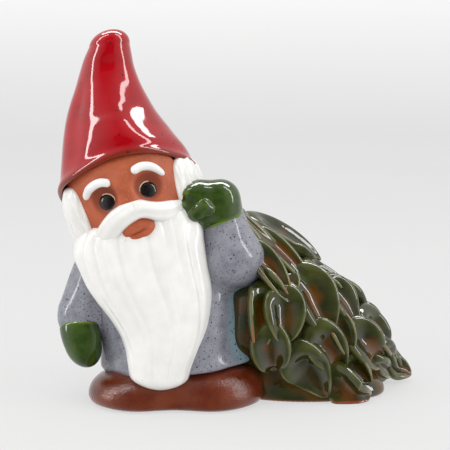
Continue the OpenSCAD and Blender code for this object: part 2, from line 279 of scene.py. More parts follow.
def clay(name, slot, rings, poles=None, **painted):
    """A closed mesh from rings of points, with none of them under the ground. Quads join each
    ring to the next, and triangles join the end rings to the poles. painted values, one for each
    ring point, become attributes."""
    rows, cols = rings.shape[:2]
    if rings[..., 2].min() < 0:
        rings = rings.copy()
        rings[..., 2] = np.maximum(rings[..., 2], 0)
    i = np.arange(rows if poles is None else rows - 1)[:, None]
    j = np.arange(cols)[None, :]
    k, up = (j + 1) % cols, (i + 1) % rows
    quads = np.stack([i * cols + j, i * cols + k, up * cols + k, up * cols + j], -1).reshape(-1, 4)
    points = rings.reshape(-1, 3)
    caps = np.zeros((0, 3), int)
    if poles is not None:
        poles = np.array(poles)
        poles[:, 2] = np.maximum(poles[:, 2], 0)
        points = np.vstack([points, poles])
        j, k = j[0], k[0]
        start, end = rows * cols, rows * cols + 1
        top = (rows - 1) * cols
        caps = np.vstack([np.stack([np.full(cols, start), k, j], -1),
                          np.stack([np.full(cols, end), top + j, top + k], -1)])
    tris = np.vstack([quads[:, [0, 1, 2]], quads[:, [0, 2, 3]], caps])
    a, b, c = (points[tris[:, n]] for n in range(3))
    if (np.cross(a, b) * c).sum() < 0:
        quads, caps = quads[:, ::-1], caps[:, ::-1]
    mesh = bpy.data.meshes.new(name)
    mesh.from_pydata(points * MM, [], quads.tolist() + caps.tolist())
    mesh.polygons.foreach_set("use_smooth", np.ones(len(mesh.polygons), bool))
    for label, values in painted.items():
        values = values.reshape(-1)
        if poles is not None:
            values = np.append(values, [values[:cols].mean(), values[-cols:].mean()])
        mesh.attributes.new(label, "FLOAT", "POINT").data.foreach_set("value", values)
    piece = bpy.data.objects.new("fired_" + name, mesh)
    bpy.context.scene.collection.objects.link(piece)
    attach(piece, "root")
    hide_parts(name)
    mesh.materials.append(finishes[slot])
    pieces[name] = piece
    return piece


def glazed(name, slot, rings, poles=None, ridge=0.12, hollow=0.12, step=2, **painted):
    """A piece whose thin and deep numbers come from its own crests and hollows, full at a bend
    of ridge or hollow, in 1/mm."""
    bend = crest(rings, step, poles is None)
    painted.setdefault("thin", ease(bend / ridge - 0.5))
    painted.setdefault("deep", ease(-bend / hollow))
    return clay(name, slot, rings, poles, **painted)


# %% [markdown]
# ## Glazes and clay
# All finishes are one kind of thing, fired clay with or without glass on it, so all are the
# Principled shader with patterns in front. One function adds a node with its settings and links.
# Colours are written as they look on a screen and turned to linear light by one function. A potter
# brushes one coat over another, so a colour is built as a stack of coats: each covers the ones
# under it where its pattern is strong.

# %% One function for nodes, one for colours


def add(tree, kind, at=None, out=0, **settings):
    """Adds one node, sets it, and joins or fills its inputs, given by name or number. Returns
    one of its outputs."""
    node = tree.nodes.new(kind)
    for key, value in settings.items():
        setattr(node, key, value)
    for key, value in (at or {}).items():
        if isinstance(value, bpy.types.NodeSocket):
            tree.links.new(value, node.inputs[key])
        else:
            node.inputs[key].default_value = value
    return node.outputs[out]


def hue(code):
    """Linear red, green and blue of an sRGB hex colour: divided by 12.92 where it is dark, and
    raised to the power 2.4 elsewhere."""
    s = np.array([int(code[i:i + 2], 16) for i in (1, 3, 5)]) / 255
    linear = np.where(s <= 0.04045, s / 12.92, ((s + 0.055) / 1.055) ** 2.4)
    return (*linear.tolist(), 1.0)


def per_mm(size):
    """The scale of a pattern, on coordinates in metres, whose cells are so many mm wide."""
    return 1 / (size * MM)


# %% A finish: its shader, its coats and its ripples
finishes = {}


def finish(slot, name, **settings):
    """A new material with one Principled shader, its plain settings set on its own sockets.
    Returns the tree, the shader, the object coordinates and the painted thin and deep."""
    material = bpy.data.materials.new(name)
    material.use_nodes = True
    tree = material.node_tree
    shader = tree.nodes["Principled BSDF"]
    for key, value in settings.items():
        shader.inputs[key.replace("_", " ")].default_value = value
    finishes[slot] = material
    felt = [add(tree, "ShaderNodeAttribute", out=2, attribute_name=n) for n in ("thin", "deep")]
    return tree, shader, add(tree, "ShaderNodeTexCoord", out=3), *felt


def brush(tree, socket, body, *coats):
    """Coats over a body colour. Each coat is a pattern, the two values of it between which the
    coat comes in, how much of it there is at most, and its colour. Each is mixed over the last."""
    colour = hue(body)
    for pattern, low, high, most, code in coats:
        share = add(tree, "ShaderNodeMapRange", {0: pattern, 1: low, 2: high, 3: 0.0, 4: most})
        colour = add(tree, "ShaderNodeMix", {0: share, 6: colour, 7: hue(code)}, 2,
                     data_type="RGBA")
    tree.links.new(colour, socket)


def ripple_skin(tree, shader, at, size, deep, detail=2.0):
    """The skin of the glaze is never quite flat: cloudy lumps so many mm wide and deep."""
    lumps = add(tree, "ShaderNodeTexNoise",
                {"Vector": at, "Scale": per_mm(size), "Detail": detail})
    bump = add(tree, "ShaderNodeBump", {"Distance": deep * MM, "Height": lumps})
    tree.links.new(bump, shader.inputs["Normal"])


# %% [markdown]
# ### Bare red earthenware
# The face is fired clay with no glaze: matt, a little mottled, with painted shade that colours the
# sockets and the back of the lips darker, and with a grain of fine sand.

# %% Red earthenware, sponged and left bare
tree, shader, at, thin, deep = finish("bare_clay", "red earthenware, unglazed",
                                      Roughness=0.6, IOR=1.5)
mottle = add(tree, "ShaderNodeTexNoise", {"Vector": at, "Scale": per_mm(5), "Detail": 3.0})
sand = add(tree, "ShaderNodeTexNoise", {"Vector": at, "Scale": per_mm(0.8), "Detail": 2.0})
# The deep coat is painted shade: darker clay in the eye sockets and at the back of the lips.
brush(tree, shader.inputs["Base Color"], "#A54C27", (mottle, 0.35, 0.7, 1.0, "#B95B35"),
      (sand, 0.62, 0.75, 0.5, "#CF8058"), (deep, 0.0, 1.0, 1.0, "#7C3319"))
ripple_skin(tree, shader, at, 0.5, 0.06, 4.0)

# %% [markdown]
# ### Red gloss glaze on the hat
# A thick lead-bright red, so smooth that it mirrors the room. Iron specks show here and there,
# and where the glaze runs thin at the brim's edge the clay makes it brown. A speck is a small ball
# round a point in every cell of a Voronoi pattern: the skin cuts few of them through the middle,
# so their sizes differ.

# %% Red gloss glaze
tree, shader, at, thin, deep = finish("red_glaze", "red gloss glaze", Roughness=0.07, IOR=1.6)
cloud = add(tree, "ShaderNodeTexNoise", {"Vector": at, "Scale": per_mm(9), "Detail": 3.0})
iron = add(tree, "ShaderNodeTexVoronoi", {"Vector": at, "Scale": per_mm(4.0)})
brush(tree, shader.inputs["Base Color"], "#93030D", (cloud, 0.3, 0.7, 1.0, "#A80714"),
      (thin, 0.0, 1.0, 1.0, "#7A2A18"), (iron, 0.13, 0.09, 0.9, "#3A1412"))
ripple_skin(tree, shader, at, 6, 0.10, 1.0)

# %% [markdown]
# ### White tin glaze on beard and hair
# Opaque and bright, with painted shade that colours the hollows a darker grey. It breaks to pink
# along ridges and edges, where it is thin and the red clay shows through.

# %% White tin glaze
tree, shader, at, thin, deep = finish("white_glaze", "white tin glaze", Roughness=0.13, IOR=1.5)
cloud = add(tree, "ShaderNodeTexNoise", {"Vector": at, "Scale": per_mm(7), "Detail": 3.0})
iron = add(tree, "ShaderNodeTexVoronoi", {"Vector": at, "Scale": per_mm(8)})
# The deep coat is painted shade: the white is coloured a darker grey in hollows.
brush(tree, shader.inputs["Base Color"], "#E6E5E1", (cloud, 0.3, 0.7, 1.0, "#F1F0EC"),
      (deep, 0.0, 1.0, 0.5, "#D3D4D0"), (thin, 0.0, 1.0, 0.6, "#E0BFB2"),
      (iron, 0.035, 0.02, 0.6, "#9A938B"))
ripple_skin(tree, shader, at, 3, 0.07)

# %% [markdown]
# ### Speckled grey-blue glaze on the coat
# A satin glaze full of iron grains between 0.3 and 1 mm wide. It turns light blue beside the
# spruce, where the two glazes ran together, and lilac where it is thin.

# %% Speckled grey-blue glaze
tree, shader, at, thin, deep = finish("coat_glaze", "speckled grey-blue glaze",
                                      Roughness=0.16, IOR=1.5)
cloud = add(tree, "ShaderNodeTexNoise", {"Vector": at, "Scale": per_mm(4), "Detail": 5.0})
tint = add(tree, "ShaderNodeAttribute", out=2, attribute_name="tint")
fine = add(tree, "ShaderNodeTexVoronoi", {"Vector": at, "Scale": per_mm(1.05)})
coarse = add(tree, "ShaderNodeTexVoronoi", {"Vector": at, "Scale": per_mm(2.1)})
brush(tree, shader.inputs["Base Color"], "#777883", (cloud, 0.3, 0.7, 1.0, "#93939C"),
      (thin, 0.0, 1.0, 0.8, "#A49BA3"), (deep, 0.0, 1.0, 1.0, "#85868F"),
      (tint, 0.0, 1.0, 0.7, "#93B4C0"), (fine, 0.24, 0.18, 0.85, "#44444F"),
      (coarse, 0.17, 0.13, 0.95, "#26262E"))
ripple_skin(tree, shader, at, 2.5, 0.08, 3.0)

# %% [markdown]
# ### Copper green glaze on the mittens
# Clear glass coloured by copper: nearly black-green where it is thick, yellow-green at edges.

# %% Copper green glaze
tree, shader, at, thin, deep = finish("mitten_glaze", "copper green glaze",
                                      Roughness=0.06, IOR=1.6)
cloud = add(tree, "ShaderNodeTexNoise", {"Vector": at, "Scale": per_mm(4), "Detail": 3.0})
brush(tree, shader.inputs["Base Color"], "#263A0C", (cloud, 0.3, 0.7, 1.0, "#3C521C"),
      (deep, 0.0, 1.0, 1.0, "#14260A"), (thin, 0.0, 1.0, 0.85, "#748F20"))
ripple_skin(tree, shader, at, 3, 0.10)

# %% [markdown]
# ### Olive glaze on the spruce
# The same glass with more iron. It pools amber-black between the branches, breaks to orange-brown
# along some rims, and stops short of the foot, where a line of bare clay shows.

# %% Olive glaze that pools and breaks
tree, shader, at, thin, deep = finish("spruce_glaze", "olive lead glaze over red clay",
                                      Roughness=0.03, IOR=1.65)
cloud = add(tree, "ShaderNodeTexNoise", {"Vector": at, "Scale": per_mm(7), "Detail": 2.0})
amber = add(tree, "ShaderNodeTexNoise", {"Vector": at, "Scale": per_mm(9.5), "Detail": 1.0})
height = add(tree, "ShaderNodeSeparateXYZ", {0: at}, 2)
broken = add(tree, "ShaderNodeMath", {0: thin, 1: amber}, operation="MULTIPLY")
pooled = add(tree, "ShaderNodeMath", {0: deep, 1: amber}, operation="MULTIPLY")
brush(tree, shader.inputs["Base Color"], "#30340F", (cloud, 0.35, 0.65, 1.0, "#4A4F24"),
      (deep, 0.0, 1.0, 0.9, "#1D2006"), (pooled, 0.36, 0.56, 0.9, "#5A3508"),
      (thin, 0.0, 1.0, 0.7, "#807B52"), (broken, 0.44, 0.62, 0.9, "#96582F"),
      (height, 1.1 * MM, 0.5 * MM, 1.0, "#8A4327"))
ripple_skin(tree, shader, at, 4, 0.10)

# %% [markdown]
# ### Red-brown slip on the boots
# Liquid clay brushed on and covered with a thin clear glaze. Sand in the slip breaks its
# highlights up into grains.

# %% Red-brown slip
tree, shader, at, thin, deep = finish("brown_slip", "red-brown slip under thin glaze",
                                      Roughness=0.12, IOR=1.5)
cloud = add(tree, "ShaderNodeTexNoise", {"Vector": at, "Scale": per_mm(9), "Detail": 4.0})
brush(tree, shader.inputs["Base Color"], "#5A220F", (cloud, 0.35, 0.65, 1.0, "#70341D"),
      (deep, 0.0, 1.0, 1.0, "#481A0A"), (thin, 0.0, 1.0, 0.6, "#86492F"))
ripple_skin(tree, shader, at, 0.7, 0.16, 3.0)

# %% [markdown]
# ### The eyes
# A bead of black glaze inside a line of cream glaze.

# %% Black and cream gloss glaze
for slot, name, rough, body, coat in (
        ("black_glaze", "black gloss glaze", 0.08, "#060606", "#1C1815"),
        ("cream_glaze", "cream gloss glaze", 0.15, "#CFAC8C", "#EBD8C0")):
    tree, shader, at, thin, deep = finish(slot, name, Roughness=rough, IOR=1.55)
    cloud = add(tree, "ShaderNodeTexNoise", {"Vector": at, "Scale": per_mm(1.0), "Detail": 3.0})
    brush(tree, shader.inputs["Base Color"], body, (cloud, 0.35, 0.65, 1.0, coat))
    ripple_skin(tree, shader, at, 1.5, 0.06)
print("finishes:", ", ".join(m.name for m in finishes.values()))

# %% [markdown]
# ## The spruce's crown
# The crown is a hollow mound that tapers along a slanting axis to its tip on the ground. It shows
# only between the branches, and at its foot. A share of its length and a turn from its top say
# where a branch starts and ends, so the branches can be placed the way they grow.

# %% The crown's axis, radius and core
THICK_AT, CROWN_L = np.array([39.0, 6, 27]), 56.0
THICK_R, TIP_R = 24.0, 4.0
dip, swing = np.radians([24, 10])
TREE_WAY = np.array([np.cos(dip) * np.cos(swing), np.cos(dip) * np.sin(swing), -np.sin(dip)])
TREE_SIDE = np.array([-np.sin(swing), np.cos(swing), 0])
TREE_UP = np.cross(TREE_WAY, TREE_SIDE)


def crown_radius(share):
    """The crown's radius: it shrinks with the share of the length to the power 1.7."""
    return TIP_R + (THICK_R - TIP_R) * (1 - np.clip(share, 0, 1) ** 1.7)


def out_of_crown(turn):
    """The way out of the crown at a turn from its top, in degrees, towards the back."""
    t = np.radians(turn)[..., None]
    return np.cos(t) * TREE_UP + np.sin(t) * TREE_SIDE


def crown(p):
    """Distance to the crown: how far a point is from its axis, less the radius there."""
    q = p - THICK_AT
    share = q @ TREE_WAY / CROWN_L
    off_axis = np.linalg.norm(q - (q @ TREE_WAY)[..., None] * TREE_WAY, axis=-1)
    ends = np.maximum(-share / 0.45, (share - 1) / 0.07)
    return off_axis - crown_radius(share) * np.sqrt(np.clip(1 - np.clip(ends, 0, 1) ** 2, 0, 1))


foot = egg([53, -2.5, 2], [29, 14.5, 10])


def knobs(p):
    """Boughs buried in the crown: a wave along it times a wave round it. Towards the tip the core
    sinks under its lobes."""
    q = p - THICK_AT
    turn = np.arctan2(q @ TREE_SIDE, q @ TREE_UP)
    wave = 0.9 * np.cos(5 * turn + q @ TREE_WAY / 6) * np.cos(q @ TREE_WAY / 3.2 - 2 * turn)
    return wave - 6.5 * ease((q @ TREE_WAY / CROWN_L - 0.68) / 0.3)


crown_core = meld(5, lambda p: crown(p) - 1.0 - knobs(p), foot)
FARTHEST, CORE_HALVINGS = 45, 30


def on_core(share, turn, lift):
    """A point lifted off the core's skin, at a share of the crown's length and a turn from its
    top. The skin is found by halving the stretch it must be in, from the axis outwards."""
    axis = THICK_AT + (share * CROWN_L)[:, None] * TREE_WAY
    out = out_of_crown(turn)
    near, far = 0 * share, 0 * share + FARTHEST
    for _ in range(CORE_HALVINGS):
        middle = (near + far) / 2
        inside = crown_core(axis + middle[:, None] * out) < 0
        near, far = np.where(inside, middle, near), np.where(inside, far, middle)
    return axis + (near + lift)[:, None] * out


core_middle = THICK_AT + 8 * TREE_WAY + [0, 0, -12]
rings, poles = balloon(over(crown_core, 0, 1.5), core_middle, 70, 120, 180, up=TREE_WAY)
glazed("spruce_crown", "spruce_glaze", rings, poles, ridge=0.5,
       deep=np.full(rings.shape[:2], 0.8))
print("crown core:", rings.reshape(-1, 3).min(0).round(1), rings.reshape(-1, 3).max(0).round(1))

# %% [markdown]
# ## Branches
# Each branch is one lobe of pinched clay, like the bowl of a spoon: a pointed oval, sunk in the
# crown at its root, lifted over it after that, with a thick round rim and a dished face. The
# lobes lie like shingles, each over the roots of the next. One closed outline is carried along a
# bent path: its lower half is half an oval, and its upper half is the same oval with the middle
# pressed in, so the rim comes by itself.

# %% One lobe
SPOON_ROWS, SPOON_COLS = 56, 64


def spoon(spine, out, half_w, thick, dish=1.12, lean=0.0):
    """A lobe. Its half width along the spine is a sine to the power 0.62. Across it, the upper
    side is an oval times 1 minus the dish times (1 - x squared) to the power 1.9, where x is the
    place across; lean raises one rim over the other."""
    share = np.linspace(0, 1, SPOON_ROWS)
    share = share - 0.05 * np.sin(TURN * share)
    path = glide(spine, share)
    along = unit(np.gradient(path, axis=0))
    across = unit(np.cross(along, out))
    up = np.cross(across, along)
    wide = np.sin(np.pi * share ** 0.85) ** 0.62 + 0.01
    body = thick * (0.35 + 0.65 * np.sin(np.pi * share ** 0.8)) * round_ends(share, 0.16)
    turn = np.arange(SPOON_COLS) * TURN / SPOON_COLS
    x = np.sign(np.cos(turn)) * np.abs(np.cos(turn)) ** 0.85
    z = np.sign(np.sin(turn)) * np.abs(np.sin(turn)) ** 0.75
    sink = dish * ease((share - 0.12) / 0.3) * np.clip((1.0 - share) / 0.1, 0, 1) ** 0.5
    pressed = 1 - sink[:, None] * ((1 - x**2) ** 1.9 * (z > 0))[None]
    width, height = half_w * wide[:, None] * x, body[:, None] * z * pressed
    height = height + lean * width
    rings = path[:, None] + width[..., None] * across[:, None] + height[..., None] * up[:, None]
    pool = np.clip(z, 0, 1) * (1 - x**2) * ease((share - 0.15) / 0.3)[:, None]
    return rings, np.array([path[0], path[-1]]), np.maximum(pool, 0.7 * ease(-1.5 * z))


def grow(name, start, end, half_w, thick, lift, lean):
    """A branch between two places on the crown, each a share of its length and a turn. It starts
    under the skin, rises a little past its lift and comes down towards its tip, and it lies on
    the ground where the crown does."""
    s = np.linspace(0, 1, 6)[:, None]
    where = (1 - s) * np.array(start, float) + s * np.array(end, float)
    rise = np.array([-2.0, 0.35 * lift, 0.8 * lift, 1.05 * lift, 1.1 * lift, 0.7 * lift])
    spine = on_core(where[:, 0], where[:, 1], rise)
    spine[:, 2] = np.maximum(spine[:, 2], 0.3 * half_w)
    rings, poles, pool = spoon(spine, out_of_crown(where[3, 1]), half_w, thick, lean=lean)
    glazed(name, "spruce_glaze", rings, poles, ridge=0.45, deep=pool)


# %% [markdown]
# The side that faces the gnome's front is laid out lobe by lobe, and the back is a looser
# mirror of it. Each row gives the root and the tip, as shares of the crown and turns from its top
# (minus to the front), then the half width and the lean of the rim.

# %% All thirty-two branches
BRANCH_THICK, BRANCH_LIFT, BROADER = 4.2, 2.8, 1.08
BRANCHES = {
    "branch_01": ((-0.14, -88), (0.06, -124), 7.0, 0.00),
    "branch_02": ((-0.26, -52), (-0.10, -112), 5.5, 0.15),
    "branch_03": ((-0.26, -26), (-0.04, -62), 6.5, 0.10),
    "branch_04": ((-0.20, 6), (0.16, -2), 7.0, 0.15),
    "branch_05": ((-0.20, 40), (0.12, 62), 7.5, -0.10),
    "branch_06": ((-0.22, 80), (0.06, 104), 8.0, -0.10),
    "branch_07": ((-0.06, 118), (0.30, 132), 8.0, -0.10),
    "branch_08": ((0.02, -98), (0.44, -121), 8.2, 0.10),
    "branch_09": ((-0.14, -52), (0.02, -98), 7.5, 0.00),
    "branch_10": ((-0.10, -30), (0.30, -78), 8.2, -0.15),
    "branch_11": ((0.00, -10), (0.34, -28), 6.5, 0.15),
    "branch_12": ((0.06, 28), (0.42, 42), 7.5, -0.10),
    "branch_13": ((0.06, 68), (0.36, 92), 8.0, -0.10),
    "branch_14": ((0.16, 112), (0.54, 128), 7.5, -0.10),
    "branch_15": ((0.12, -72), (0.50, -104), 7.4, 0.10),
    "branch_16": ((0.22, -52), (0.50, -88), 5.0, 0.10),
    "branch_17": ((0.10, -26), (0.50, -54), 7.6, 0.10),
    "branch_18": ((0.26, 8), (0.62, 4), 7.0, 0.10),
    "branch_19": ((0.32, 52), (0.68, 70), 7.5, -0.10),
    "branch_20": ((0.36, 96), (0.72, 118), 7.0, -0.10),
    "branch_21": ((0.36, -108), (0.74, -116), 6.6, 0.10),
    "branch_22": ((0.38, -54), (0.80, -84), 7.2, 0.10),
    "branch_23": ((0.46, -28), (0.86, -54), 6.8, 0.15),
    "branch_24": ((0.50, 22), (0.88, 26), 6.5, 0.00),
    "branch_25": ((0.56, 78), (0.92, 102), 6.5, -0.10),
    "branch_26": ((0.64, -84), (0.92, -106), 5.4, 0.10),
    "branch_27": ((0.68, -8), (1.02, -22), 6.0, 0.10),
    "branch_28": ((0.74, 44), (1.04, 56), 5.5, 0.00),
    "branch_29": ((0.76, 100), (1.02, 122), 5.0, -0.10),
    "branch_30": ((0.46, -92), (0.70, -104), 4.6, 0.10),
    "branch_31": ((0.66, -58), (0.98, -80), 6.2, 0.10),
    "branch_32": ((0.80, -30), (1.10, -50), 6.0, 0.00),
}
for name, (start, end, half_w, lean) in BRANCHES.items():
    slim = 1 - 0.35 * ease((start[0] - 0.3) / 0.6)
    near_top = 1 - 0.4 * ease(1.3 - abs(end[1]) / 60)
    grow(name, start, end, BROADER * half_w, BRANCH_THICK * slim, BRANCH_LIFT * slim * near_top,
         lean)
print("branches:", len(BRANCHES))

# %% [markdown]
# ## Trunk and sweeping lobes
# The trunk comes out of the crown, over the shoulder and into the mitten. It is a tapered roll of
# clay with a few long ridges, as bark has. Four long lobes lie along it and sweep back.

# %% Trunk and sweeps
TRUNK = np.array([[19.0, -11, 73], [26, -7.5, 63], [34, -2, 52], [41, 3, 40], [45, 7, 29]])
TRUNK_COLS = 90
share = np.linspace(0, 1, 70)
path = glide(TRUNK, share)
along = unit(np.gradient(path, axis=0))
across = unit(np.cross(along, [0, 1, 0]))
thick = (5.2 + 7.5 * share) * round_ends(share, 0.06)
rings, poles = loft(path, across, np.cross(across, along), thick, thick, TRUNK_COLS)
turn = np.arange(TRUNK_COLS) * TURN / TRUNK_COLS
bark = 0.45 * np.cos(9 * turn + 5 * share[:, None]) + 0.3 * np.cos(14 * turn - 9 * share[:, None])
rings += bark[..., None] * unit(rings - path[:, None]) * round_ends(share, 0.1)[:, None, None]
glazed("spruce_trunk", "spruce_glaze", rings, poles, ridge=0.3)

SWEEPS = {
    "sweep_01": ([[27, -13, 60], [33, -12, 56], [38, -13.5, 50], [42, -17, 44], [45, -19, 38]],
                 (0.3, -1, 0.3), 5.5),
    "sweep_02": ([[26, -8, 67], [33, -6, 62], [41, -6, 56], [48, -9, 49], [52, -12, 43]],
                 (0.4, -0.7, 0.7), 5.5),
    "sweep_03": ([[27, 0, 67], [35, 4, 64], [43, 6.5, 60], [51, 7.5, 55], [58.5, 7.5, 49]],
                 (0.4, -0.5, 1), 6.5),
    "sweep_04": ([[26, 3, 62], [33, 8, 58], [40, 14, 53], [46, 19, 47], [50, 22, 40]],
                 (0.4, 0.8, 0.5), 6.5),
}
for name, (spine, out, half_w) in SWEEPS.items():
    rings, poles, pool = spoon(np.array(spine, float), unit(out), half_w, 3.0, 1.0, 0.1)
    glazed(name, "spruce_glaze", rings, poles, ridge=0.45, deep=pool)

# %% [markdown]
# ## Boots
# Both boots are one low base with rounded corners and a toe bump on each side, flat underneath.
# A block with an edge radius and two eggs are smeared together. The sole is cut level, so the
# figure stands.

# %% Boots
boots_at = middle_and_size("boots")[0]
BASE_HALF = np.array([31.5, 25.5])
CORNER_R = 20.0


def base_block(p):
    """Distance to the base: the distance to a rectangle with round corners, seen from above, met
    by the distance to its top, which rises towards the spruce, with the edge rounded over 9 mm."""
    q = np.abs(p[..., :2] - boots_at[:2]) - (BASE_HALF - CORNER_R)
    plan = np.linalg.norm(np.maximum(q, 0), axis=-1) + np.minimum(q.max(-1), 0) - CORNER_R
    return -soft_min(-plan, 10.5 + 0.11 * p[..., 0] - p[..., 2], 9)


toes = [egg([x, -11.5, 3.2], [18, 19, 9.3]) for x in (-9.5, 17)]
coat_axes = tilted(12)


def coat_body(p):
    """Distance to the coat: a leaning egg whose hem flares, most of all beside the spruce."""
    beside = ease((p[..., 0] - 12) / 18)
    skirt = (1.2 + 3.0 * beside) * np.exp(-((p[..., 2] - 11) / (4.0 + 3 * beside)) ** 2)
    return egg([3.2, 1, 23], [28.6, 28.0, 46], coat_axes)(p) - skirt


base = over(meld(5, base_block, *toes), 0.0, 2.5)
rings, poles = balloon(base, [4, -2, 4], 60, 90, 200)
glazed("boots", "brown_slip", rings, poles, ridge=0.2)

# %% [markdown]
# ## Coat and sleeves
# The coat is a leaning egg cut off at a wavy hem. Long shallow folds run down it. Each sleeve is a
# tapered rod of clay luted on: where it meets the coat, its skin runs up the coat in a fillet.

# %% Coat
raised = meld(4, rod([21.0, -12.5, 68], [24.2, -12, 54.0], 7.6, 11.4),
              ball([26.5, -6, 51], 10.2))
hanging = meld(4, rod([-24.5, -1, 54], [-30.6, -7.5, 33], 7.2, 8.6),
               ball([-31.6, -8.5, 29.0], 7.4))


def hem(p):
    """The hem's height: it rises steadily towards the spruce, one in ten."""
    return 11.6 + 0.1 * p[..., 0]


def folds(p):
    """Shallow folds: a wave round the coat that drifts with height and fades at its crown."""
    turn = np.arctan2(p[..., 1] - 1, p[..., 0] - 3)
    z = p[..., 2]
    fade = ease((62 - z) / 20)
    return fade * (0.45 * np.cos(7 * turn + z / 9) + 0.3 * np.cos(11 * turn - z / 14))


coat = over(lambda p: coat_body(p) - folds(p), hem, 3)
rings, poles = balloon(lute(coat, meld(3, raised, hanging), 4, 0.9), [0, 1, 33], 70, 130, 200)


def tint(rings):
    """How blue the coat's glaze runs: full at the spruce and gone 5 mm away from it."""
    return ease(1 - (crown(rings) - 3.0) / 5)


glazed("coat", "coat_glaze", rings, poles, ridge=0.3, tint=tint(rings))

# %% Sleeves


def creases(p, at, deep):
    """Wrinkles of a sleeve: waves across its length that fade round its back."""
    turn = np.arctan2(p[..., 1] - at[1], p[..., 0] - at[0])
    return deep * np.cos(4 * turn + 0.8 * np.sin(p[..., 2] / 6)) * ease((p[..., 2] - at[2]) / 14)


for name, shape, at, deep, floor in (
        ("sleeve_raised", raised, [23, -11.5, 58], 0.55, 50),
        ("sleeve_hanging", hanging, [-28.5, -6, 40], 0.35, 30)):
    sleeve = lute(lambda p: shape(p) - creases(p, [at[0], at[1], floor], deep), coat, 5, 1.0)
    rings, poles = balloon(sleeve, at, 40, 110, 140)
    glazed(name, "coat_glaze", rings, poles, ridge=0.3, tint=0.7 * tint(rings))

# %% [markdown]
# ## Mittens
# A mitten is a lump of clay. The raised one is a fist with soft knuckles and a thumb, its own
# piece, hooked over it. The hanging one is a tilted egg with the thumb laid along it.

# %% Mittens
fist = meld(3, egg([13.2, -16.0, 75.2], [6.6, 7.4, 7.0]),
            egg([20.4, -14.6, 75.0], [7.2, 7.6, 7.2]),
            egg([14.4, -17.2, 70.4], [5.6, 5.8, 5.0]),
            egg([21.2, -14.4, 71.6], [5.8, 7.0, 5.2]))
knuckles = meld(1.2, *(egg([x, -19.2, z], [2.7, 2.9, 2.3])
                       for x, z in ((9.4, 77.6), (8.6, 74.0), (10.0, 70.4))))
fist = meld(2.2, fist, knuckles)
rings, poles = balloon(lute(fist, raised, 3, 0.8), [17, -15.5, 73.5], 20, 100, 140)
cuff = ease(1 - np.abs(raised(rings)) / 1.3)
ridge = ease(crest(rings) / 0.3 - 0.6)
glazed("mitten_raised", "mitten_glaze", rings, poles, thin=np.maximum(cuff, ridge))

thumb = meld(1.5, rod([11.6, -22.0, 70.2], [14.8, -23.0, 73.6], 2.2, 2.0),
             ball([16.4, -22.2, 72.2], 1.6))
rings, poles = balloon(lute(thumb, fist, 2, 0.6), [13.2, -22, 71.9], 9, 60, 90)
glazed("thumb_raised", "mitten_glaze", rings, poles, ridge=0.6)

palm = meld(3, egg([-30.2, -12.6, 21.4], [6.7, 6.4, 9.2], tilted(20)),
            egg([-31.6, -12.0, 25.4], [6.0, 5.6, 5.0]), egg([-26.6, -15.2, 23.8], [2.8, 2.6, 5.0]))
rings, poles = balloon(lute(palm, hanging, 3, 0.8), [-30.6, -12, 22.5], 20, 100, 130)
cuff = ease(1 - np.abs(hanging(rings)) / 1.0)
glazed("mitten_hanging", "mitten_glaze", rings, poles, ridge=0.35, thin=0.7 * cuff)

# %% [markdown]
# ## Head and face
# The head is a ball rolled a little to one side, and it is held in at the back so that the hat
# goes over it. A round tool pressed the eye sockets. Places on the face are given in the head's
# own axes: across, to the back and up from the middle of the ball. An egg fills out the forehead,
# so that it meets the brim. The nose is no more than a soft bridge that runs down under the
# moustache.

# %% Head, nose and lips
FACE = tilted(16)
FOREHEAD_UP, FOREHEAD = 8.0, np.array([22.9, 22.6, 24.0])
EYES = {"right": (-8.2, 3.3), "left": (8.0, 3.6)}


def on_face(x, z, proud=0.0):
    """A point on the head at x across and z up, some way proud: on the ball, or on the
    forehead's egg where that stands further forward."""
    x, z, proud = np.broadcast_arrays(np.asarray(x, float), z, proud)
    wide, thick, tall = FOREHEAD
    brow = thick**2 * (1 - (x / wide) ** 2 - ((z - FOREHEAD_UP) / tall) ** 2)
    y = -np.sqrt(np.maximum(np.maximum(HEAD_R**2 - x**2 - z**2, brow), 1))
    own = np.stack([x, y, z], -1)
    return head_at + (own * (1 + proud / HEAD_R)[..., None]) @ FACE


def under_hat(p):
    """An upright oval cylinder that keeps the back of the skull inside the hat and narrows with
    it; in front it leaves the face alone."""
    up = np.maximum(p[..., 2] - 84, 0)
    wide, deep = (p[..., 0] + 14 + 0.3 * up) / 1.2, np.maximum(p[..., 1] + 4.6, 0)
    return np.hypot(wide, deep) - 18.4 + 0.45 * up


round_skull = meld(2, ball(head_at, HEAD_R), egg(head_at + FOREHEAD_UP * FACE[2], FOREHEAD, FACE))


def skull(p):
    """The ball and the forehead's egg, held in under the hat at the back."""
    return np.maximum(round_skull(p), under_hat(p))


bridge = rod(on_face(0.2, 9, -3.2), on_face(0.4, 1, -1.7), 3.6, 3.0)
face = meld(5, skull, bridge)
for x, z in EYES.values():
    face = press(face, egg(on_face(x, z + 1.2, 2.4), [5.4, 4.4, 5.2], FACE), 2.0)
rings, poles = balloon(face, head_at, 26, 220, 300)
# Painted shade: the clay is coloured darker within 6 mm of each socket's middle.
socket = np.ones(rings.shape[:2]) * 9
for x, z in EYES.values():
    socket = np.minimum(socket, np.linalg.norm(rings - on_face(x, z + 1.3), axis=-1))
clay("head", "bare_clay", rings, poles, deep=0.8 * ease((6.0 - socket) / 1.8))

nose = egg(on_face(0.4, 2.6, -1.4), [2.6, 2.3, 4.2], FACE)
rings, poles = balloon(lute(nose, face, 3, 0.5), on_face(0.4, 2.6, -1.2), 7, 60, 80)
clay("nose", "bare_clay", rings, poles, deep=np.zeros(rings.shape[:2]))

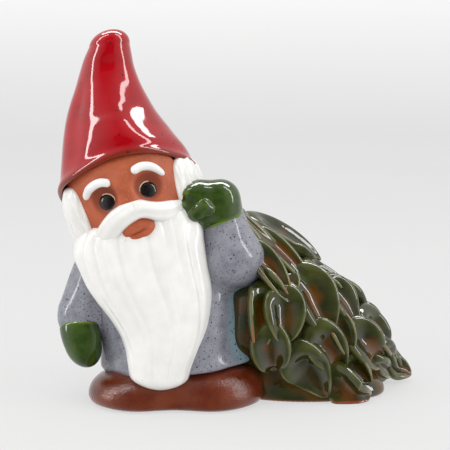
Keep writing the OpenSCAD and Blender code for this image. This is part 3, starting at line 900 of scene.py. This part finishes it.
LIPS = on_face(0.5, -8.2, 0.8)
lips = egg(LIPS, [5.9, 2.9, 3.7], tilted(17))
lips = press(lips, rod(on_face(-3.4, -9.0, 3.3), on_face(2.2, -7.9, 3.3), 0.55, 0.35), 0.8)
rings, poles = balloon(lips, LIPS, 9, 90, 120)
# Painted shade: the lips are coloured darker towards their back, where they meet the face.
clay("lips", "bare_clay", rings, poles, deep=0.5 * ease((rings - LIPS) @ FACE[1] / 2 + 0.4))

# %% [markdown]
# ### Eyes
# A bead of black glaze stands in the socket, inside a hoop of cream glaze. The hoop is a circle
# carried round a circle, so it closes on itself and has no poles.

# %% Eye beads and their rims
BEAD, RIM_R = [3.25, 3.05, 1.5], 3.3
RIM_COLS, RIM_ROWS = 20, 96
for side, (x, z) in EYES.items():
    out = unit(on_face(x, z) - head_at)
    across = unit(np.cross(out, [0, 0, 1]))
    up = np.cross(across, out)
    at = on_face(x, z, -1.5)
    bead = egg(at, BEAD, np.array([across, up, out]))
    rings, poles = balloon(bead, at, 5, 50, 72, up=out)
    clay("eye_" + side, "black_glaze", rings, poles)
    turn = (np.arange(RIM_ROWS) * TURN / RIM_ROWS)[:, None]
    bend = (np.arange(RIM_COLS) * TURN / RIM_COLS)[None, :]
    reach = RIM_R + 0.26 * np.cos(bend) + 0.05 * np.cos(3 * turn + x)
    rings = (at + (reach * np.cos(turn))[..., None] * across
             + (reach * 0.95 * np.sin(turn))[..., None] * up
             + (0.15 + 0.24 * np.sin(bend) + 0 * turn)[..., None] * out)
    clay("eye_rim_" + side, "cream_glaze", rings)

# %% [markdown]
# ### Eyebrows and moustache
# Rolls of white clay, pressed down on the face. A roll is an oval carried along a path on the
# head: each row gives the place across and up, half its height on the face and how far it stands
# out. The moustache is one curve, cut under the nose into its two halves.

# %% Rolls of clay on the face
ROLL_ROWS = 90


def roll(name, rows, part=(0.0, 1.0), ends=(0.12, 0.12), comb=0.0, cols=72):
    """A roll pressed on the face, along part of the smooth curve through the rows. An end with a
    length is rounded over that share, and one with none is cut off flat. Comb lines run along."""
    share = np.linspace(*part, ROLL_ROWS)
    own = np.linspace(0, 1, ROLL_ROWS)
    x, z, half_h, proud = glide(rows, share).T
    path = on_face(x, z, proud * 0.25)
    out = unit(path - head_at)
    along = unit(np.gradient(path, axis=0))
    side = unit(np.cross(out, along))
    full = np.ones(ROLL_ROWS)
    for length, near in zip(ends, (own, 1 - own)):
        if length:
            full = full * np.sqrt(np.clip(1 - (1 - np.clip(near / length, 0, 1)) ** 2, 0.0004, 1))
    rings, poles = loft(path, side, out, half_h * full, proud * full, cols, 2.2)
    turn = np.arange(cols) * TURN / cols
    facing_out = np.clip(np.sin(turn), 0, 1)
    lines = comb * np.cos(7 * turn + 5 * share[:, None]) * full[:, None] * facing_out
    rings = rings + lines[..., None] * out[:, None]
    # On the white glaze, deep colours the hollows darker grey as painted shade.
    glazed(name, "white_glaze", rings, poles, ridge=0.9, hollow=0.6)


roll("eyebrow_right", [(-15.0, 6.0, 1.1, 1.3), (-12.2, 9.2, 1.5, 1.6), (-8.0, 10.5, 1.55, 1.6),
                       (-4.3, 9.4, 1.45, 1.5)])
roll("eyebrow_left", [(3.6, 11.2, 1.5, 1.5), (7.6, 12.0, 1.55, 1.6), (11.2, 10.5, 1.35, 1.5),
                      (14.1, 6.9, 0.9, 1.2)])
MOUSTACHE = [(-17.6, -13.4, 2.4, 1.5), (-14.0, -10.2, 3.4, 2.3), (-9.8, -6.5, 3.9, 2.8),
             (-5.2, -3.4, 4.0, 3.0), (-0.9, -1.9, 3.7, 2.9), (2.6, -1.7, 3.4, 2.8),
             (5.4, -2.8, 3.1, 2.7), (8.2, -4.3, 3.4, 2.6), (11.4, -5.3, 3.6, 2.4),
             (14.6, -5.3, 3.1, 2.0), (18.0, -4.2, 2.0, 1.4)]
UNDER_NOSE = 0.46
roll("moustache_right", MOUSTACHE, (0, UNDER_NOSE), (0.3, 0), 0.14)
roll("moustache_left", MOUSTACHE, (UNDER_NOSE, 1), (0, 0.3), 0.14)

# %% [markdown]
# ## Hat
# A tall cone that leans away from the spruce and flares to a thin brim, tilted high over the
# forehead. Rings are carried up a bent path: at the brim they lie in its tilted plane, and they
# turn level by the tip. Soft folds run down it. Under the edge the rings turn in and go up
# inside, so the brim has a real thickness and a dark gap shows between it and the head.

# %% Hat
BRIM = tilted(12.5, 31)
BRIM_ACROSS, BRIM_BACK, BRIM_UP = BRIM
BRIM_T = 2.0
HAT = np.array([  # the path's x, y and z, and the radius
    [-13.4, -5.0, 79.4, 25.4], [-15.0, -4.2, 87.4, 23.0], [-17.3, -2.8, 95.6, 20.0],
    [-19.2, -1.8, 103.0, 17.0], [-20.1, -0.8, 109.0, 14.6], [-20.7, 0.2, 115.0, 12.0],
    [-21.0, 1.0, 121.0, 10.0], [-20.8, 1.4, 125.5, 8.8], [-20.3, 1.7, 129.5, 7.5]])
TIP = np.array([-19.2, 1.9, 135.4])
COLS = 180
share = np.linspace(0, 1, 110)
x, y, z, r = glide(HAT, share).T
dome = np.linspace(0, 0.97, 16)[1:]
x = np.append(x, x[-1] + (TIP[0] - x[-1]) * dome)
y = np.append(y, y[-1] + (TIP[1] - y[-1]) * dome)
z = np.append(z, z[-1] + (TIP[2] - z[-1]) * np.sin(dome * np.pi / 2))
r = np.append(r, r[-1] * np.cos(dome * np.pi / 2))
share = np.append(share, 1 + dome)
level = ease(share / 0.55)[:, None]
across = unit((1 - level) * BRIM_ACROSS + level * np.array([1, 0, 0.1]))
back = unit((1 - level) * BRIM_BACK + level * np.array([0, 1.0, -0.15]))
turn = np.arange(COLS) * TURN / COLS


def hat_fold(at, drift, wide, deep, low, high):
    """A soft valley down the hat: a bell curve round a turn that drifts with height."""
    off = (turn[None] - np.radians(at) - np.radians(drift) * share[:, None] + np.pi) % TURN - np.pi
    fade = ease((share - low) / 0.12) * ease((high - share) / 0.25)
    return -deep * np.exp(-(off / np.radians(wide)) ** 2) * fade[:, None]


ripple = (hat_fold(-52, 0, 22, 0.5, 0.05, 0.85) + hat_fold(-132, -8, 13, 0.9, 0.0, 0.7)
          + hat_fold(-95, 12, 20, 0.5, 0.25, 0.9) + hat_fold(60, 0, 20, 1.1, 0.05, 0.8)
          + hat_fold(130, -10, 18, 1.0, 0.1, 0.7) + hat_fold(-12, -10, 24, 0.4, 0.1, 0.7)
          + 0.35 * np.cos(5 * turn[None] + 4 * share[:, None]) * ease(1.2 - share)[:, None])
radius = r[:, None] + ripple
lip = 0.7 * np.exp(-(share / 0.03) ** 2)[:, None]
droop = -1.8 * np.exp(-((turn - 4.01) / 0.5) ** 2 - share[:, None] / 0.12)
path = np.stack([x, y, z], -1)
outside = (path[:, None] + ((radius + lip) * np.cos(turn))[..., None] * across[:, None]
           + ((radius + lip) * np.sin(turn))[..., None] * back[:, None]
           + droop[..., None] * BRIM_UP)
edge_turn = np.linspace(0, np.pi, 8)[1:, None, None]
outwards = unit(outside[0] - path[0])
edge = (outside[0] - outwards * BRIM_T / 2 + np.cos(edge_turn) * BRIM_T / 2 * outwards
        - np.sin(edge_turn) * BRIM_T / 2 * BRIM_UP)
inner_share = np.linspace(0.0, 0.35, 14)[1:]
inner = edge[-1] + inner_share[:, None, None] * (path[0] + 22 * BRIM_UP - edge[-1])
rings = np.concatenate([inner[::-1], edge[::-1], outside])
poles = np.array([inner[-1].mean(0), TIP])
thin = np.concatenate([np.zeros(len(inner)), np.full(len(edge), 0.9),
                       0.75 * np.exp(-(share / 0.012) ** 2)])
glazed("hat", "red_glaze", rings, poles, thin=np.repeat(thin[:, None], COLS, 1))
print("hat height above the head's middle, mm:", round(TIP[2] - head_at[2], 1))

# %% [markdown]
# ## Hair
# White hair shows under the brim at each side and runs round to the back of the collar. Each half
# is a strip carried round the head: half its height, how far it stands out and how low it hangs
# change on the way, and comb lines cross it.

# %% Hair
HAIR = np.array([  # turn from the front, height, half height, thickness, radius
    [47, -1.0, 6.0, 1.2, 22.6], [56, 0.0, 10.5, 2.6, 22.8], [75, -1.0, 12.0, 3.6, 22.6],
    [100, -4.0, 10.5, 3.8, 22.0], [130, -9.0, 8.5, 3.4, 20.8], [160, -12.5, 6.5, 3.2, 19.8],
    [184, -13.0, 6.0, 2.6, 19.4]])
HAIR_ROWS, HAIR_COLS = 150, 72
for side, sign in (("right", -1), ("left", 1)):
    share = np.linspace(0, 1, HAIR_ROWS)
    angle, height, half_h, proud, radius = glide(HAIR, share).T
    angle = np.radians(angle)
    own = np.stack([sign * radius * np.sin(angle), -radius * np.cos(angle), height], -1)
    path = head_at + own @ FACE
    out = unit(np.stack([sign * np.sin(angle), -np.cos(angle), 0 * angle], -1) @ FACE)
    full = round_ends(share, 0.08)
    rings, poles = loft(path, out, np.repeat(FACE[2][None], HAIR_ROWS, 0), proud * full,
                        half_h * full, HAIR_COLS, 2.5)
    turn = np.arange(HAIR_COLS) * TURN / HAIR_COLS
    comb = (0.28 * np.cos(60 * share[:, None] + 1.5 * np.sin(2 * turn))
            + 0.2 * np.cos(97 * share[:, None] - 2 * np.sin(turn)))
    rings = rings + (comb * full[:, None] * np.abs(np.cos(turn)))[..., None] * out[:, None]
    # On the white glaze, deep colours the comb hollows darker grey as painted shade.
    glazed("hair_" + side, "white_glaze", rings, poles, ridge=0.9, hollow=0.7)

# %% [markdown]
# ## Beard
# The beard widens from the chin to the cheeks and falls to a rounded tip over the boots. Rings are
# carried down it. Each row gives the height, the left and right edge, how far forward it stands,
# its half depth and its roll, because its top follows the rolled head. Comb strokes are sums of
# waves that drift down it, deepest under the mouth.

# %% Beard
BEARD = np.array([
    [72.0, -27.0, 6.0, -19.5, 7.0, 16], [68.5, -31.0, 10.5, -24.6, 10.0, 16],
    [64.5, -33.2, 13.6, -27.2, 12.5, 16], [60.0, -33.0, 15.0, -28.6, 13.0, 15],
    [54.0, -30.8, 15.4, -29.6, 13.5, 12], [47.0, -27.8, 16.4, -30.4, 13.5, 9],
    [40.7, -24.2, 17.3, -31.0, 13.5, 6], [34.0, -19.6, 17.0, -31.4, 13.0, 4],
    [28.0, -16.2, 15.8, -31.7, 12.5, 2], [22.0, -14.0, 13.4, -31.9, 11.5, 0],
    [16.5, -13.0, 10.6, -32.2, 10.0, -2], [11.5, -12.2, 8.8, -32.0, 8.8, -3],
    [7.8, -10.6, 7.0, -31.4, 7.4, -3]])
BEARD_ROWS, BEARD_COLS = 190, 260
share = np.linspace(0, 1, BEARD_ROWS)
z, left, right, front, half_depth, lean = glide(BEARD, share).T
half_w = (right - left) / 2
end = np.sqrt(np.clip(1 - (np.clip(share - 0.9, 0, 1) / 0.1) ** 2, 0.003, 1))
start = np.sqrt(np.clip(1 - (np.clip(0.08 - share, 0, 1) / 0.08) ** 2, 0.003, 1))
half_w, depth = half_w * end * start, half_depth * (0.35 + 0.65 * end) * start
lean = np.radians(lean)
across = np.stack([np.cos(lean), 0 * lean, np.sin(lean)], -1)
path = np.stack([(left + right) / 2, front + half_depth, z], -1)
rings, poles = loft(path, across, np.repeat([[0.0, 1, 0]], BEARD_ROWS, 0), half_w, depth,
                    BEARD_COLS, 2.3)
place = np.cos(np.arange(BEARD_COLS) * TURN / BEARD_COLS)[None]
s = share[:, None]
strokes = (np.cos(31 * place + 2.2 * np.sin(4 * s) + 2) + 0.8 * np.cos(19 * place - 2 * s + 1)
           + 0.6 * np.cos(47 * place + 2.5 * np.sin(5 * s + 2 * place)))
depth_of = 0.20 * ease((0.78 - share) / 0.6) + 0.05 * ease((0.97 - share) / 0.1)
outwards = unit(rings - path[:, None])
rings = rings + (strokes * depth_of[:, None] * end[:, None] * start[:, None])[..., None] * outwards
# On the white glaze, deep colours the stroke hollows darker grey as painted shade.
glazed("beard", "white_glaze", rings, poles, ridge=0.9, hollow=0.5)
print("beard from", rings[..., 2].min().round(1), "to", rings[..., 2].max().round(1), "mm")

# %% [markdown]
# ## Floor, light and camera
# Glazed clay shows what it mirrors, so the room matters as much as the glaze. The figure stands in
# a pale round bay without corners that glows, more on its wall than on its floor. What the glaze
# mirrors is set apart from what lights the clay. In reflections the bay is left out and a plain
# room stands there, bright at the sides and at the back, darker overhead and darkest in front.

# %% A pale bay
PAPER_GLOW = (0.58, 0.88)  # on the floor and on the wall
BAY_ROWS, BAY_COLS = 60, 96
BAY = np.array([[0.0, 0.0], [0.3, 0.0], [0.6, 0.0], [0.9, 0.0], [1.15, 0.02], [1.35, 0.10],
                [1.5, 0.28], [1.55, 0.6], [1.55, 1.3]])
turn = np.arange(BAY_COLS) * TURN / BAY_COLS
reach, height = glide(BAY, np.linspace(0.02, 1, BAY_ROWS)).T
rings = np.stack([reach[:, None] * np.cos(turn), reach[:, None] * np.sin(turn),
                  height[:, None] + 0 * turn], -1)
i, j = np.arange(BAY_ROWS - 1)[:, None] * BAY_COLS, np.arange(BAY_COLS)[None, :]
k = (j + 1) % BAY_COLS
quads = np.stack([i + j, i + k, i + BAY_COLS + k, i + BAY_COLS + j], -1)
points = np.vstack([rings.reshape(-1, 3), [[0, 0, 0]]])
fan = np.stack([k[0], j[0], np.full(BAY_COLS, len(points) - 1)], -1)
mesh = bpy.data.meshes.new("bay")
mesh.from_pydata(points, [], quads.reshape(-1, 4).tolist() + fan.tolist())
mesh.polygons.foreach_set("use_smooth", np.ones(len(mesh.polygons), bool))
bay = bpy.data.objects.new("bay", mesh)
bpy.context.scene.collection.objects.link(bay)
paper = bpy.data.materials.new("matt white paper")
paper.use_nodes = True
tree = paper.node_tree
shader = tree.nodes["Principled BSDF"]
shader.inputs["Roughness"].default_value = 0.9
shader.inputs["Specular IOR Level"].default_value = 0.1
shader.inputs["Emission Color"].default_value = (1, 1, 1, 1)
height = add(tree, "ShaderNodeSeparateXYZ", {0: add(tree, "ShaderNodeTexCoord", out=3)}, 2)
glow = add(tree, "ShaderNodeMapRange",
           {0: height, 1: 0.02, 2: 0.3, 3: PAPER_GLOW[0], 4: PAPER_GLOW[1]})
tree.links.new(glow, shader.inputs["Emission Strength"])
fibre = add(tree, "ShaderNodeTexNoise", {"Vector": add(tree, "ShaderNodeTexCoord", out=3),
                                         "Scale": per_mm(300)})
brush(tree, shader.inputs["Base Color"], "#7A7A7A", (fibre, 0.3, 0.7, 1.0, "#7E7E7D"))
mesh.materials.append(paper)
bay.visible_glossy = False

# %% The room the glaze mirrors
world = bpy.data.worlds.new("studio")
bpy.context.scene.world = world
world.use_nodes = True
tree = world.node_tree
sky = tree.nodes["Background"]
sideways, back = (add(tree, "ShaderNodeSeparateXYZ", {0: add(tree, "ShaderNodeTexCoord")}, n)
                  for n in (0, 1))
sideways = add(tree, "ShaderNodeMath", {0: sideways}, operation="ABSOLUTE")
way = add(tree, "ShaderNodeMath", {0: sideways, 1: 1.1, 2: back}, operation="MULTIPLY_ADD")
brush(tree, sky.inputs["Color"], "#68686C", (way, -0.5, 0.9, 1.0, "#FFFFFF"))
sky.inputs["Strength"].default_value = 0.9

# %% [markdown]
# Three strips, left, right and overhead at the back, show only in reflections and make the bright
# lines down the hat. Four soft fills, the weakest in front, light the clay and show in none.

# %% Strips and fills


def softbox(name, at, size, watts, aim=(0.0, 0, 0.06)):
    """A rectangular light that faces the figure."""
    light = bpy.data.lights.new(name, "AREA")
    light.shape, light.size, light.size_y, light.energy = "RECTANGLE", *size, watts
    lamp = bpy.data.objects.new(name, light)
    lamp.location = at
    way = np.array(aim) - np.array(at)
    flat = np.hypot(way[0], way[1])
    lamp.rotation_euler = (np.arctan2(flat, -way[2]), 0, np.arctan2(way[1], way[0]) - np.pi / 2)
    lamp.visible_camera = False
    bpy.context.scene.collection.objects.link(lamp)
    return lamp


for name, at, size, watts in (
        ("left strip", (-0.62, -0.12, 0.60), (0.11, 1.3), 5.0),
        ("right strip", (0.66, -0.16, 0.60), (0.12, 1.3), 4.4),
        ("back strip", (0.05, 0.30, 0.80), (1.0, 0.16), 7.0)):
    softbox(name, at, size, watts).visible_diffuse = False
for name, at, size, watts in (
        ("left fill", (-0.62, -0.30, 0.48), (0.4, 0.8), 1.6),
        ("right fill", (0.66, -0.30, 0.48), (0.4, 0.8), 1.8),
        ("front fill", (0.0, -1.0, 0.45), (0.6, 0.6), 0.8),
        ("top fill", (-0.1, -0.15, 0.95), (0.5, 0.4), 2.1)):
    softbox(name, at, size, watts).visible_glossy = False

# %% A dark card, seen only in reflections
CARD_AT, CARD_HALF = np.array([0.05, -0.75, 0.76]), np.array([0.36, 0, 0.15])
corners = [CARD_AT + CARD_HALF * (x, 0, z) for x, z in ((-1, -1), (1, -1), (1, 1), (-1, 1))]
mesh = bpy.data.meshes.new("dark card")
mesh.from_pydata(corners, [], [(0, 1, 2, 3)])
card = bpy.data.objects.new("dark_card", mesh)
bpy.context.scene.collection.objects.link(card)
felt = bpy.data.materials.new("black felt")
felt.use_nodes = True
shader = felt.node_tree.nodes["Principled BSDF"]
shader.inputs["Roughness"].default_value = 1.0
nap = add(felt.node_tree, "ShaderNodeTexNoise", {"Scale": per_mm(2)})
brush(felt.node_tree, shader.inputs["Base Color"], "#020202", (nap, 0.3, 0.7, 1.0, "#060606"))
mesh.materials.append(felt)
card.visible_camera = card.visible_diffuse = card.visible_shadow = False

# %% Camera and colour
AIM = np.array([0.022, 0.0, 0.0635])
AWAY, LIFT = 0.465, np.radians(8)
lens = bpy.data.cameras.new("camera")
lens.lens, lens.sensor_width = 100, 36
camera = bpy.data.objects.new("camera", lens)
camera.location = AIM + AWAY * np.array([0, -np.cos(LIFT), np.sin(LIFT)])
camera.rotation_euler = (np.pi / 2 - LIFT, 0, 0)
bpy.context.scene.collection.objects.link(camera)
bpy.context.scene.camera = camera
bpy.context.scene.view_settings.view_transform = "Standard"

# %% Counts of pieces and triangles
triangles = sum(len(p.data.loop_triangles) or sum(len(f.vertices) - 2 for f in p.data.polygons)
                for p in pieces.values())
print(len(pieces), "pieces,", triangles, "triangles")
